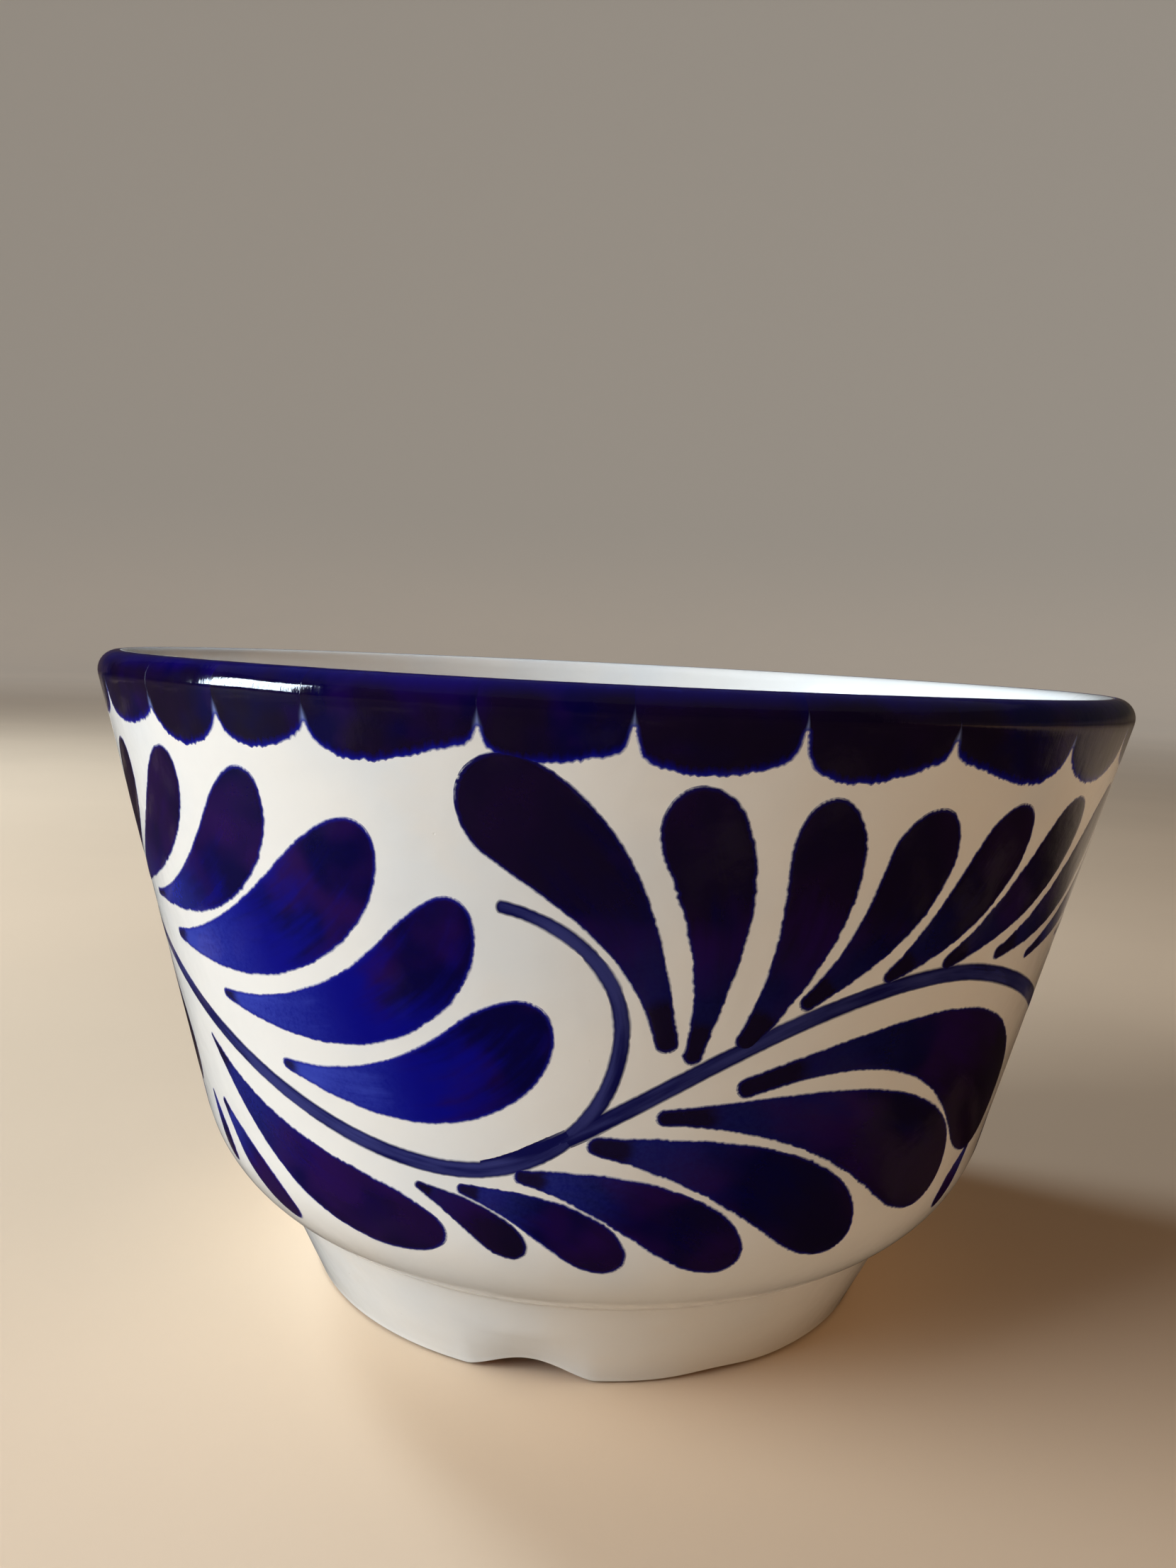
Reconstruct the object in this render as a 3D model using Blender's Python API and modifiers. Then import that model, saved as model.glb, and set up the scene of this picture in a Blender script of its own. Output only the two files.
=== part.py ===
"""A wide, footed tin-glazed bowl with a cobalt vine painted round its wall.

The bowl is thrown, a foot ring is luted under it, white glaze is laid inside and outside,
and each cobalt brush stroke on the glaze is a thin solid of its own.

Frame: +Z up, origin on the table at the centre of the foot, front of the bowl facing -Y.
Angles run round the bowl from its front, positive towards +X. Lengths here are in
millimetres and angles in degrees, until round_bowl and turned give Blender its metres.
"""

import math

import bmesh
import bpy

MM = 0.001
FULL_TURN = 360.0

# Bowl: the outside of the glaze is a lip circle, a straight leaning wall and a belly arc.
LIP_CENTRE = (82.0, 100.7)
LIP_RADIUS = 3.0
WALL_LEAN = 13.75
BELLY_RADIUS = 24.0
BELLY_TOP_HEIGHT = 31.2
TURN_STEPS = 36

# Layers, from the outside of the glaze inwards.
GLAZE = 0.5
GAP = 0.3
CLAY = GLAZE + GAP
LIP_SPLIT = 3.0

# Foot ring: a cone that narrows towards the table, with arched notches in its edge.
FOOT_BASE_RADIUS = 48.9
FOOT_TAPER = 0.458
FOOT_INNER_RADIUS = 43.0
FOOT_EDGE = 0.8
NOTCH_ANGLES = (-8.5, 111.5, -128.5)
NOTCH_WIDTH = 19.0
NOTCH_HEIGHT = 3.0
NOTCH_LENGTH = 24.0

# Paint lies on the glaze. The rim band is a row of round dabs, each one a width in degrees
# and the height of its lowest point. The dabs at the back are all of one size.
PAINT = 0.3
FIRST_DAB_ANGLE = -45.5
FRONT_DABS = (
    (10.5, 92.6), (10.0, 93.5), (15.0, 93.2), (11.7, 94.6),
    (13.1, 93.8), (13.7, 93.3), (15.9, 92.9), (15.0, 92.5),
)
BACK_DAB_COUNT = 19
BACK_DAB_LOW = 94.4
DAB_MEETING_HEIGHT = 97.4
DAB_STEPS = 4

# The vine repeats three times round the bowl.
REPEATS = (("front", 0.0), ("right", 120.0), ("left", -120.0))

# A stem is a chain of cubic curves, with an angle and a height for each knot and handle. It
# leaves the stem before it, climbs to a crest, sinks to a trough and ends in a hook.
STEM_CURVES = (
    ((-12.0, 41.2), (1.4, 44.7), (15.5, 69.0), (37.0, 67.9)),
    ((37.0, 67.9), (54.0, 67.0), (83.0, 41.2), (104.0, 40.6)),
    ((104.0, 40.6), (116.0, 40.3), (122.8, 50.0), (122.8, 61.5)),
    ((122.8, 61.5), (122.8, 70.0), (117.2, 76.5), (110.9, 77.4)),
)
STEM_START = 0.37
STEM_WIDTH = 2.2
STEM_TIP_WIDTH = 1.4
STEM_TAPER_FROM = 2.0
STEM_STEPS = 10

# A leaf is one loaded brush stroke. Each row gives the angle and height of its root, of the
# point it bends towards and of its head, then its greatest width and how far along that is.
UPPER_LEAVES = (
    ((7.2, 60.3), (4.6, 80.5), (-11.9, 91.9), 12.4, 0.81),
    ((9.6, 60.0), (11.9, 78.0), (6.0, 92.8), 9.8, 0.77),
    ((14.3, 63.2), (20.5, 77.0), (18.4, 92.2), 9.8, 0.72),
    ((19.9, 66.6), (29.5, 76.4), (28.5, 91.3), 10.0, 0.72),
    ((27.9, 69.5), (37.9, 75.8), (39.7, 91.4), 9.6, 0.72),
    ((34.9, 70.5), (47.9, 76.4), (51.0, 91.5), 9.6, 0.72),
    ((43.0, 70.0), (57.8, 74.2), (62.9, 91.8), 9.3, 0.72),
    ((50.5, 68.4), (70.2, 74.4), (75.4, 92.6), 9.6, 0.72),
    ((61.5, 68.8), (82.0, 70.6), (87.7, 91.4), 10.2, 0.73),
    ((66.3, 64.5), (91.6, 63.5), (99.2, 86.3), 12.9, 0.74),
    ((75.8, 58.2), (103.0, 55.8), (107.6, 77.5), 11.5, 0.75),
    ((84.9, 51.1), (109.3, 46.5), (114.6, 65.1), 12.1, 0.75),
)
LOWER_LEAVES = (
    ((13.6, 54.5), (48.3, 65.2), (56.0, 37.0), 15.6, 0.81),
    ((6.5, 50.2), (33.6, 52.8), (44.4, 31.9), 14.2, 0.79),
    ((0.2, 45.7), (21.2, 44.4), (29.9, 28.0), 12.7, 0.78),
    ((-7.2, 39.8), (7.8, 39.8), (15.9, 27.6), 10.2, 0.77),
    ((67.6, 52.0), (80.3, 32.5), (104.4, 29.9), 11.2, 0.74),
)

# A leaf swells from a blunt root. One that is widest late also swells late.
LEAF_BLUNTNESS = 0.18
LEAF_SWELL = 1.2
LATE_FROM = 0.72
LATE_SWELL = 8.0
LEAF_TIP = 0.99
STROKE_CELL = 5.0

TERRACOTTA = (0.62, 0.36, 0.24)
TIN_WHITE = (0.86, 0.87, 0.87)
COBALT = (0.020, 0.018, 0.20)
CLAY_ROUGHNESS = 0.85
GLAZE_ROUGHNESS = 0.12


# ---- outline of the bowl ------------------------------------------------------------------

def on_circle(centre, radius, direction):
    """Point of a section circle, with the direction in degrees up from the horizontal."""
    turn = math.radians(direction)
    return (centre[0] + radius * math.cos(turn), centre[1] + radius * math.sin(turn))


def arc(centre, radius, start, end, steps):
    directions = [start + (end - start) * step / steps for step in range(steps + 1)]
    return [on_circle(centre, radius, direction) for direction in directions]


def lip_tangent():
    """Where the lip circle runs into the straight wall."""
    return on_circle(LIP_CENTRE, LIP_RADIUS, -WALL_LEAN)


def wall_radius(height):
    """Radius of the straight wall at a height."""
    start = lip_tangent()
    return start[0] - (start[1] - height) * math.tan(math.radians(WALL_LEAN))


def belly_centre():
    wall_end = (wall_radius(BELLY_TOP_HEIGHT), BELLY_TOP_HEIGHT)
    return on_circle(wall_end, -BELLY_RADIUS, -WALL_LEAN)


def lip_arc(inset, start, end, steps):
    return arc(LIP_CENTRE, LIP_RADIUS - inset, start, end, steps)


def belly_arc(inset, start, end, steps):
    return arc(belly_centre(), BELLY_RADIUS - inset, start, end, steps)


def foot_radius(height, inset):
    """Radius of the foot cone at a height, for a layer set in from its outside."""
    return FOOT_BASE_RADIUS + FOOT_TAPER * height - inset * math.hypot(1.0, FOOT_TAPER)


def crease_direction(belly_inset, foot_inset):
    """Direction from the belly centre to where a belly circle meets the foot cone."""
    centre = belly_centre()
    across = foot_radius(0.0, foot_inset) - centre[0]
    square = 1.0 + FOOT_TAPER ** 2
    half = across * FOOT_TAPER - centre[1]
    rest = across ** 2 + centre[1] ** 2 - (BELLY_RADIUS - belly_inset) ** 2
    height = (-half - math.sqrt(half ** 2 - square * rest)) / square
    radius = foot_radius(height, foot_inset)
    return math.degrees(math.atan2(height - centre[1], radius - centre[0]))


def wall_section(height, stand_off):
    """(radius, height) of a point that stands off the glaze below the lip's widest point."""
    if height > BELLY_TOP_HEIGHT:
        surface, direction = (wall_radius(height), height), -WALL_LEAN
    else:
        centre = belly_centre()
        direction = -math.degrees(math.asin((centre[1] - height) / BELLY_RADIUS))
        surface = on_circle(centre, BELLY_RADIUS, direction)
    return on_circle(surface, stand_off, direction)


def round_bowl(angle, section):
    """Point in metres at an angle round the bowl, from its (radius, height) in millimetres."""
    turn = math.radians(angle)
    radius, height = section
    return (radius * math.sin(turn) * MM, -radius * math.cos(turn) * MM, height * MM)


# ---- building helpers ---------------------------------------------------------------------

def clear_scene():
    for thing in list(bpy.data.objects):
        bpy.data.objects.remove(thing, do_unlink=True)


def new_collection(name):
    collection = bpy.data.collections.new(name)
    bpy.context.scene.collection.children.link(collection)
    return collection


def new_material(name, colour, roughness):
    material = bpy.data.materials.new(name)
    material.use_nodes = True
    shader = material.node_tree.nodes["Principled BSDF"]
    shader.inputs["Base Color"].default_value = (*colour, 1.0)
    shader.inputs["Roughness"].default_value = roughness
    shader.inputs["Metallic"].default_value = 0.0
    return material


def new_object(name, mesh, material, collection):
    thing = bpy.data.objects.new(name, mesh)
    mesh.materials.append(material)
    collection.objects.link(thing)
    return thing


def turned(name, profile, is_ring, material, collection):
    """Solid of revolution, whose profile runs down its outer side. A ring's profile closes."""
    mesh = bpy.data.meshes.new(name)
    vertices = [(radius * MM, 0.0, height * MM) for radius, height in profile]
    edges = [(i, i + 1) for i in range(len(profile) - 1)]
    if is_ring:
        edges.append((len(profile) - 1, 0))
    mesh.from_pydata(vertices, edges, [])
    thing = new_object(name, mesh, material, collection)
    screw = thing.modifiers.new("Turn", "SCREW")
    screw.steps = TURN_STEPS
    screw.render_steps = TURN_STEPS
    screw.use_merge_vertices = True
    screw.merge_threshold = 0.00001
    screw.use_smooth_shade = True
    return thing


def draped(name, columns, rows, place, material, collection):
    """Thin solid on the wall. place(along, across) gives the points of its underside."""
    shape = bmesh.new()
    bmesh.ops.create_grid(shape, x_segments=columns, y_segments=rows, size=1.0)
    for vertex in shape.verts:
        vertex.co = place((vertex.co.x + 1.0) / 2.0, vertex.co.y)
    bmesh.ops.remove_doubles(shape, verts=shape.verts, dist=0.00001)
    mesh = bpy.data.meshes.new(name)
    shape.to_mesh(mesh)
    shape.free()
    mesh.shade_smooth()
    thing = new_object(name, mesh, material, collection)
    solidify = thing.modifiers.new("Thickness", "SOLIDIFY")
    solidify.thickness = PAINT * MM
    solidify.offset = 1.0
    return thing


def cut_with(thing, cutters):
    cut = thing.modifiers.new("Notches", "BOOLEAN")
    cut.operation = "DIFFERENCE"
    cut.operand_type = "COLLECTION"
    cut.collection = cutters
    cut.solver = "EXACT"


# ---- clay ---------------------------------------------------------------------------------

def clay_body(material, collection):
    """The thrown bowl without its foot: flat floor, belly, leaning wall and rolled lip."""
    wall = 2.0 * LIP_RADIUS - CLAY
    inside = belly_arc(wall, -90.0, -WALL_LEAN, 5)
    lip = lip_arc(CLAY, 180.0 - WALL_LEAN, -WALL_LEAN, 6)
    outside = belly_arc(CLAY, -WALL_LEAN, -90.0, 6)
    profile = [(0.0, inside[0][1])] + inside + lip + outside + [(0.0, outside[-1][1])]
    return turned("clay_body", profile, False, material, collection)


def foot_ring(material, collection):
    """The ring luted under the belly. Its top follows the belly, one gap away."""
    crease = crease_direction(CLAY - GAP, CLAY)
    top = belly_arc(CLAY - GAP, -90.0, crease, 4)
    base = [
        (foot_radius(FOOT_EDGE, CLAY), FOOT_EDGE),
        (foot_radius(0.0, CLAY) - FOOT_EDGE, 0.0),
        (FOOT_INNER_RADIUS + FOOT_EDGE, 0.0),
        (FOOT_INNER_RADIUS, FOOT_EDGE),
        (FOOT_INNER_RADIUS, top[0][1]),
    ]
    return turned("foot_ring", top + base, True, material, collection)


def notch_cutters(collection):
    """Cylinders that lie along radii of the foot and rise into its edge as low arches."""
    radius = (NOTCH_WIDTH ** 2 / 4.0 + NOTCH_HEIGHT ** 2) / (2.0 * NOTCH_HEIGHT)
    for number, angle in enumerate(NOTCH_ANGLES, start=1):
        centre = round_bowl(angle, (FOOT_BASE_RADIUS, NOTCH_HEIGHT - radius))
        bpy.ops.mesh.primitive_cylinder_add(
            vertices=64, radius=radius * MM, depth=NOTCH_LENGTH * MM, location=centre,
            rotation=(math.radians(90.0), 0.0, math.radians(angle)),
        )
        cutter = bpy.context.active_object
        cutter.name = f"notch_cutter_{number}"
        for holder in list(cutter.users_collection):
            holder.objects.unlink(cutter)
        collection.objects.link(cutter)
        cutter.hide_render = True
        cutter.display_type = "WIRE"


# ---- glaze --------------------------------------------------------------------------------

def inner_glaze(material, collection):
    """White glaze over the floor, the inside of the wall and the inner half of the lip."""
    wall = 2.0 * LIP_RADIUS
    split = 90.0 + LIP_SPLIT
    face = (
        belly_arc(wall, -90.0, -WALL_LEAN, 5)
        + lip_arc(0.0, 180.0 - WALL_LEAN, split, 3)
    )
    back = (
        lip_arc(GLAZE, split, 180.0 - WALL_LEAN, 3)
        + belly_arc(wall - GLAZE, -WALL_LEAN, -90.0, 5)
    )
    profile = [(0.0, face[0][1])] + face + back + [(0.0, back[-1][1])]
    return turned("inner_glaze", profile, False, material, collection)


def outer_glaze(material, collection):
    """White glaze over the outer half of the lip, the wall, the belly and the foot."""
    split = 90.0 - LIP_SPLIT
    face = (
        lip_arc(0.0, split, -WALL_LEAN, 3)
        + belly_arc(0.0, -WALL_LEAN, crease_direction(0.0, 0.0), 4)
        + [(foot_radius(FOOT_EDGE, 0.0), FOOT_EDGE)]
    )
    back = (
        [(foot_radius(FOOT_EDGE, GLAZE), FOOT_EDGE)]
        + belly_arc(GLAZE, crease_direction(GLAZE, GLAZE), -WALL_LEAN, 4)
        + lip_arc(GLAZE, -WALL_LEAN, split, 3)
    )
    return turned("outer_glaze", face + back, True, material, collection)


# ---- cobalt paint -------------------------------------------------------------------------

def dabs():
    """(start angle, width, lowest height) of each dab of the rim band, once round."""
    front_width = sum(width for width, _ in FRONT_DABS)
    back_width = (FULL_TURN - front_width) / BACK_DAB_COUNT
    start = FIRST_DAB_ANGLE
    for width, low in FRONT_DABS + ((back_width, BACK_DAB_LOW),) * BACK_DAB_COUNT:
        yield start, width, low
        start += width


def rim_band(material, collection):
    """Cobalt band from the crest of the lip down to the scalloped edge of its dabs."""
    row = list(dabs())
    lip_rows = 3

    def place(along, across):
        step = round(along * len(row) * DAB_STEPS) % (len(row) * DAB_STEPS)
        start, width, low = row[step // DAB_STEPS]
        share = (step % DAB_STEPS) / DAB_STEPS
        lift = (DAB_MEETING_HEIGHT - low) * (1.0 - math.sqrt(1.0 - (2.0 * share - 1.0) ** 2))
        level = (across + 1.0) / 2.0 * (lip_rows + 1) - 1.0
        if level < -0.5:
            section = wall_section(low + lift, GAP)
        else:
            top = 90.0 - LIP_SPLIT
            direction = -WALL_LEAN + (top + WALL_LEAN) * level / lip_rows
            section = on_circle(LIP_CENTRE, LIP_RADIUS + GAP, direction)
        return round_bowl(start + width * share, section)

    columns = len(row) * DAB_STEPS
    return draped("rim_band", columns, lip_rows + 1, place, material, collection)


def beside(point, heading, distance):
    """(angle, height) a distance to the left of a heading given in degrees and height."""
    scale = math.radians(wall_section(point[1], 0.0)[0])
    sideways, upwards = heading[0] * scale, heading[1]
    length = math.hypot(sideways, upwards)
    return (
        point[0] - distance * upwards / length / scale,
        point[1] + distance * sideways / length,
    )


def distance(first, second):
    """Distance on the wall between two (angle, height) points."""
    middle = blend(first, second, 0.5)
    scale = math.radians(wall_section(middle[1], 0.0)[0])
    return math.hypot((second[0] - first[0]) * scale, second[1] - first[1])


def bezier(knots, share):
    """Point and heading on a Bezier curve through any number of (angle, height) knots."""
    points = list(knots)
    while len(points) > 2:
        points = [blend(a, b, share) for a, b in zip(points, points[1:])]
    heading = (points[1][0] - points[0][0], points[1][1] - points[0][1])
    return blend(points[0], points[1], share), heading


def blend(first, second, share):
    return tuple(a + (b - a) * share for a, b in zip(first, second))


def painted(name, columns, rows, spine, half_width, turn, material, collection):
    """A stroke on the wall, from its spine and its half width at each share of its length."""
    def place(along, across):
        point, heading = spine(along)
        angle, height = beside(point, heading, half_width(along) * across)
        return round_bowl(angle + turn, wall_section(height, GAP))

    return draped(name, columns, rows, place, material, collection)


def stem(name, turn, material, collection):
    def where(along):
        reach = STEM_START + (len(STEM_CURVES) - STEM_START) * along
        number = min(int(reach), len(STEM_CURVES) - 1)
        return number, reach - number

    def spine(along):
        number, share = where(along)
        return bezier(STEM_CURVES[number], share)

    def half_width(along):
        number, share = where(along)
        past = max(number + share - STEM_TAPER_FROM, 0.0) / (len(STEM_CURVES) - STEM_TAPER_FROM)
        return (STEM_WIDTH + (STEM_TIP_WIDTH - STEM_WIDTH) * past) / 2.0

    steps = STEM_STEPS * len(STEM_CURVES)
    painted(name, steps, 1, spine, half_width, turn, material, collection)


def leaf(name, shape, turn, material, collection):
    root, bend, head, width, widest = shape
    swell_power = LEAF_SWELL + LATE_SWELL * (widest - LATE_FROM)

    def reach(along):
        """Rows crowd towards the round head."""
        return LEAF_TIP * math.sin(math.pi / 2.0 * along)

    def spine(along):
        return bezier((root, bend, head), reach(along))

    def half_width(along):
        share = reach(along)
        if share > widest:
            fullness = math.sqrt(1.0 - ((share - widest) / (1.0 - widest)) ** 2)
        else:
            swell = math.sin(math.pi / 2.0 * share / widest) ** swell_power
            fullness = LEAF_BLUNTNESS + (1.0 - LEAF_BLUNTNESS) * swell
        return width / 2.0 * fullness

    rows = math.ceil((distance(root, bend) + distance(bend, head)) / STROKE_CELL)
    columns = math.ceil(width / STROKE_CELL)
    painted(name, rows, columns, spine, half_width, turn, material, collection)


def vine(material, collection):
    for side, turn in REPEATS:
        stem(f"vine_stem_{side}", turn, material, collection)
        for number, shape in enumerate(UPPER_LEAVES, start=1):
            leaf(f"upper_leaf_{number:02d}_{side}", shape, turn, material, collection)
        for number, shape in enumerate(LOWER_LEAVES, start=1):
            leaf(f"lower_leaf_{number:02d}_{side}", shape, turn, material, collection)


def main():
    clear_scene()
    parts = new_collection("talavera_bowl")
    cutters = new_collection("cutters")
    terracotta = new_material("terracotta", TERRACOTTA, CLAY_ROUGHNESS)
    tin_white = new_material("tin_white_glaze", TIN_WHITE, GLAZE_ROUGHNESS)
    cobalt = new_material("cobalt_paint", COBALT, GLAZE_ROUGHNESS)

    clay_body(terracotta, parts)
    notch_cutters(cutters)
    cut_with(foot_ring(terracotta, parts), cutters)
    inner_glaze(tin_white, parts)
    cut_with(outer_glaze(tin_white, parts), cutters)
    rim_band(cobalt, parts)
    vine(cobalt, parts)


main()
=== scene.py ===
"""Looks for the wide, footed, tin-glazed bowl with a cobalt vine painted round its wall.

Every surface is built from one outline of the bowl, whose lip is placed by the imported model.
The glaze, the clay and each brush stroke are fine closed meshes that stand for the CAD nodes.

Angles run round the bowl from its front, positive towards +X. Lengths are in millimetres and
angles in degrees, until the function place() gives Blender its metres.
"""

import math

import bmesh
import bpy
import numpy as np
from mathutils import Matrix, Vector


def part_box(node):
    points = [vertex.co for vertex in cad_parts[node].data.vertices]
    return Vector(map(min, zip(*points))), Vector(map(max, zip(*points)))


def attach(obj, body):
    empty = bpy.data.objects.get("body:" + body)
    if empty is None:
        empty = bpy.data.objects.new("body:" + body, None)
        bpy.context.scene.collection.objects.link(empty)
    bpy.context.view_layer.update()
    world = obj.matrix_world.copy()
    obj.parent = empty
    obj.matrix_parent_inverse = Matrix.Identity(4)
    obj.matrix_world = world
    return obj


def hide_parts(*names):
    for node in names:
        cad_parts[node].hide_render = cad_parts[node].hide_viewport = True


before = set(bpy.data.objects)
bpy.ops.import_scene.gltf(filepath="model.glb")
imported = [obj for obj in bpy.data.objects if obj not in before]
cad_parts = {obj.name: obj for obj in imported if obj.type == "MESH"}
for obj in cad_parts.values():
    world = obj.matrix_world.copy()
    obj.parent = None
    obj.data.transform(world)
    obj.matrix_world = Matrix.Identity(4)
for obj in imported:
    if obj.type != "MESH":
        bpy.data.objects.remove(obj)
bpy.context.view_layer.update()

MM = 0.001
FULL_TURN = 360.0
SEED = 11

# Outline of the glazed bowl: a lip circle, a straight leaning wall, a belly arc and a foot cone.
LIP_RADIUS = 3.0
WALL_LEAN = 13.75
LIP_SPLIT = 3.0
WALL_THICKNESS = 2.0 * LIP_RADIUS
BELLY_RADIUS = 24.0
BELLY_TOP_HEIGHT = 31.2
CREASE_FILLET = 1.6
FOOT_BASE_RADIUS = 48.9
FOOT_TAPER = 0.458
FOOT_INNER_RADIUS = 43.0
FOOT_EDGE = 0.8
GLAZE_STOP = 0.6

# Layers, from the outside of the glaze inwards.
GLAZE = 0.5
GAP = 0.3
CLAY = GLAZE + GAP

# Arched notches in the foot, each followed by a shallow dip that a thumb left in the wet edge.
NOTCH_ANGLES = (-8.5, 111.5, -128.5)
NOTCH_HALF_WIDTH = 11.3
NOTCH_HEIGHT = 2.8
NOTCH_SHAPE = 1.4
NOTCH_REACH = 9.0
DIP_AFTER_NOTCH = 33.0
DIP_HALF_WIDTH = 7.0
DIP_HEIGHT = 0.5

# Hand work: the wall is a little uneven and its lip a little wavy.
WALL_UNEVENNESS = 0.10
LIP_UNEVENNESS = 0.16
UNEVEN_FROM = 20.0
UNEVEN_REACH = 80.0
TURNING_PITCH = 5.5
TURNING_FADE_IN = 3.0
TURNING_FADE_OUT = 16.0
FLOOR_TURN_WIDTH = 9.0
TRIMMING_FADE_IN = 4.0
TURNING_DEPTH_OUTSIDE = 0.012
TURNING_DEPTH_INSIDE = 0.10
TURNING_DEPTH_CLAY = 0.16

# Mesh fineness.
OUTER_COLUMNS = 600
INNER_COLUMNS = 360
ROW_HEIGHT = 1.5
STROKE_ROW = 0.42
STROKE_COLUMNS = 26
END_ROWS = 9
DAB_COLUMNS = 96

# The paint swells from a sunken edge to a level just proud of the glaze.
PAINT_EDGE = -0.012
PAINT_RISE = 0.060
PAINT_RISE_LENGTH = 0.55
PAINT_BACK = -0.12
RIM_LAYER = 0.0
STEM_LAYER = -0.008
LEAF_LAYER = 0.006

# Rim band: round dabs, each a width in degrees, the height of its lowest point, how far that
# point leans to one side, and how far the white point at its start reaches up.
FIRST_DAB_ANGLE = -45.5
FRONT_DABS = (
    (10.5, 92.6, 0.0, 0.3), (10.0, 93.5, -0.20, 0.8), (15.0, 93.2, -0.40, 1.1), (11.7, 94.4, -0.28, 2.0),
    (13.1, 93.8, -0.12, 2.8), (13.7, 93.3, -0.28, 3.0), (15.9, 92.9, 0.38, 2.4), (15.0, 92.5, -0.10, 1.2),
)
BACK_DAB_COUNT = 19
BACK_DAB_LOW = 93.9
BACK_DAB_VARIATION = 0.9
DAB_ROUNDNESS = 2.2
DAB_MEETING_HEIGHT = 96.2
CUSP_WIDTH = 0.5
BAND_TOP = 96.0
BAND_TOP_WAVINESS = 16.0
BAND_WALL_ROWS = 15
BAND_LIP_ROWS = 10
BAND_BACK_STEP = 5
BAND_NEIGHBOURS = 36
BAND_ROW_CROWDING = 1.7

# The vine repeats three times round the bowl. The hidden repeat is painted a little differently.
REPEATS = (("front", 0.0, 0.0), ("right", 120.0, 0.6), ("left", -120.0, 0.0))

# A stem is a chain of cubic curves, with an angle and a height for each knot and handle. It
# starts thin inside the repeat before it, and tapers again towards its scrolled tip.
STEM_CURVES = (
    ((-13.5, 40.9), (1.0, 44.3), (15.5, 69.0), (37.0, 67.9)),
    ((37.0, 67.9), (54.0, 67.0), (83.0, 41.2), (104.0, 40.6)),
    ((104.0, 40.6), (115.6, 40.3), (122.4, 50.0), (122.4, 61.5)),
    ((122.4, 61.5), (122.4, 70.0), (117.0, 76.5), (110.9, 77.4)),
)
STEM_WIDTH = 2.5
STEM_TIP_WIDTH = 1.75
STEM_START_THINNING = 0.6
STEM_MERGE_LENGTH = 18.0
STEM_TAPER_FROM = 0.5
STEM_LENGTH = 250.0
STEM_COLUMNS = 12

# A leaf is one loaded brush stroke. Each row gives the angle and height of its root, of the
# point it bends towards and of its head, its greatest width, how far along that is, the width
# of its root as a share of the greatest, and how heavily the brush was loaded, from 0 to 1.
UPPER_LEAVES = (
    ((6.8, 59.4), (2.8, 82.8), (-11.8, 92.5), 13.1, 0.83, 0.22, 0.95),
    ((8.9, 57.8), (12.5, 79.4), (5.7, 92.2), 10.4, 0.80, 0.23, 0.95),
    ((13.5, 59.7), (21.4, 76.8), (17.6, 91.8), 9.8, 0.76, 0.30, 1.00),
    ((18.8, 65.2), (29.7, 77.0), (28.5, 90.6), 10.6, 0.76, 0.22, 1.00),
    ((27.2, 68.1), (38.0, 77.6), (40.0, 90.7), 10.2, 0.73, 0.18, 1.00),
    ((34.3, 69.2), (47.5, 78.0), (51.5, 90.6), 10.0, 0.75, 0.21, 0.90),
    ((42.5, 69.4), (57.4, 75.2), (62.9, 91.4), 9.4, 0.74, 0.20, 0.85),
    ((50.0, 67.8), (70.9, 75.8), (75.3, 92.0), 9.6, 0.75, 0.16, 0.70),
    ((61.2, 68.5), (81.9, 70.1), (87.4, 91.0), 10.8, 0.76, 0.11, 0.55),
    ((66.6, 63.8), (90.5, 63.8), (99.2, 86.0), 12.8, 0.72, 0.12, 0.26),
    ((76.2, 57.9), (102.7, 55.5), (107.4, 77.9), 11.4, 0.72, 0.13, 0.24),
    ((85.0, 50.5), (108.7, 46.6), (114.4, 65.2), 12.3, 0.73, 0.13, 0.24),
)
LOWER_LEAVES = (
    ((13.9, 54.0), (42.6, 68.4), (57.2, 36.6), 16.4, 0.84, 0.18, 0.85),
    ((6.2, 50.4), (33.0, 52.3), (45.7, 31.6), 14.6, 0.77, 0.16, 0.80),
    ((-0.4, 46.2), (20.5, 43.9), (31.0, 27.8), 11.8, 0.74, 0.22, 0.75),
    ((-7.8, 40.9), (6.1, 39.7), (17.1, 27.4), 9.7, 0.75, 0.22, 0.70),
    ((69.6, 49.4), (83.6, 30.3), (104.6, 30.2), 10.8, 0.72, 0.08, 0.70),
)
SLIM_LEAVES = (
    ((-14.1, 37.9), (-3.4, 36.3), (3.9, 27.4), 7.7, 0.75, 0.22, 0.70),
    ((-19.0, 37.4), (-11.2, 34.1), (-6.8, 28.3), 5.5, 0.72, 0.22, 0.90),
    ((68.1, 38.5), (71.9, 32.2), (81.3, 24.0), 6.0, 0.75, 0.24, 0.60),
    ((64.0, 38.2), (65.0, 33.0), (67.5, 27.3), 3.6, 0.72, 0.24, 0.60),
    ((55.4, 36.4), (53.5, 33.0), (50.2, 27.0), 4.5, 0.72, 0.22, 0.60),
)

# A leaf swells from its root, late if it is widest late. Rows of its mesh crowd together over a
# share of its width at either end. In a varied repeat its points shift, in degrees and height.
LEAF_SWELL = 1.2
LATE_FROM = 0.72
LATE_SWELL = 8.0
HEAD_REACH = 0.22
LEAF_SHIFT = (0.5, 0.6)
STROKE_SEED = 1000 + SEED

# Raggedness of a painted edge: each wave has a length along the edge and a height.
RAGGED_WAVES = ((6.3, 0.06), (2.7, 0.045), (1.5, 0.045), (0.95, 0.05))
BRUSH_SPREAD = 0.44
STEM_RAGGEDNESS = 0.35
BRISTLE_WAVES = ((4.4, 0.10), (2.1, 0.10), (1.25, 0.09), (0.85, 0.10))

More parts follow.
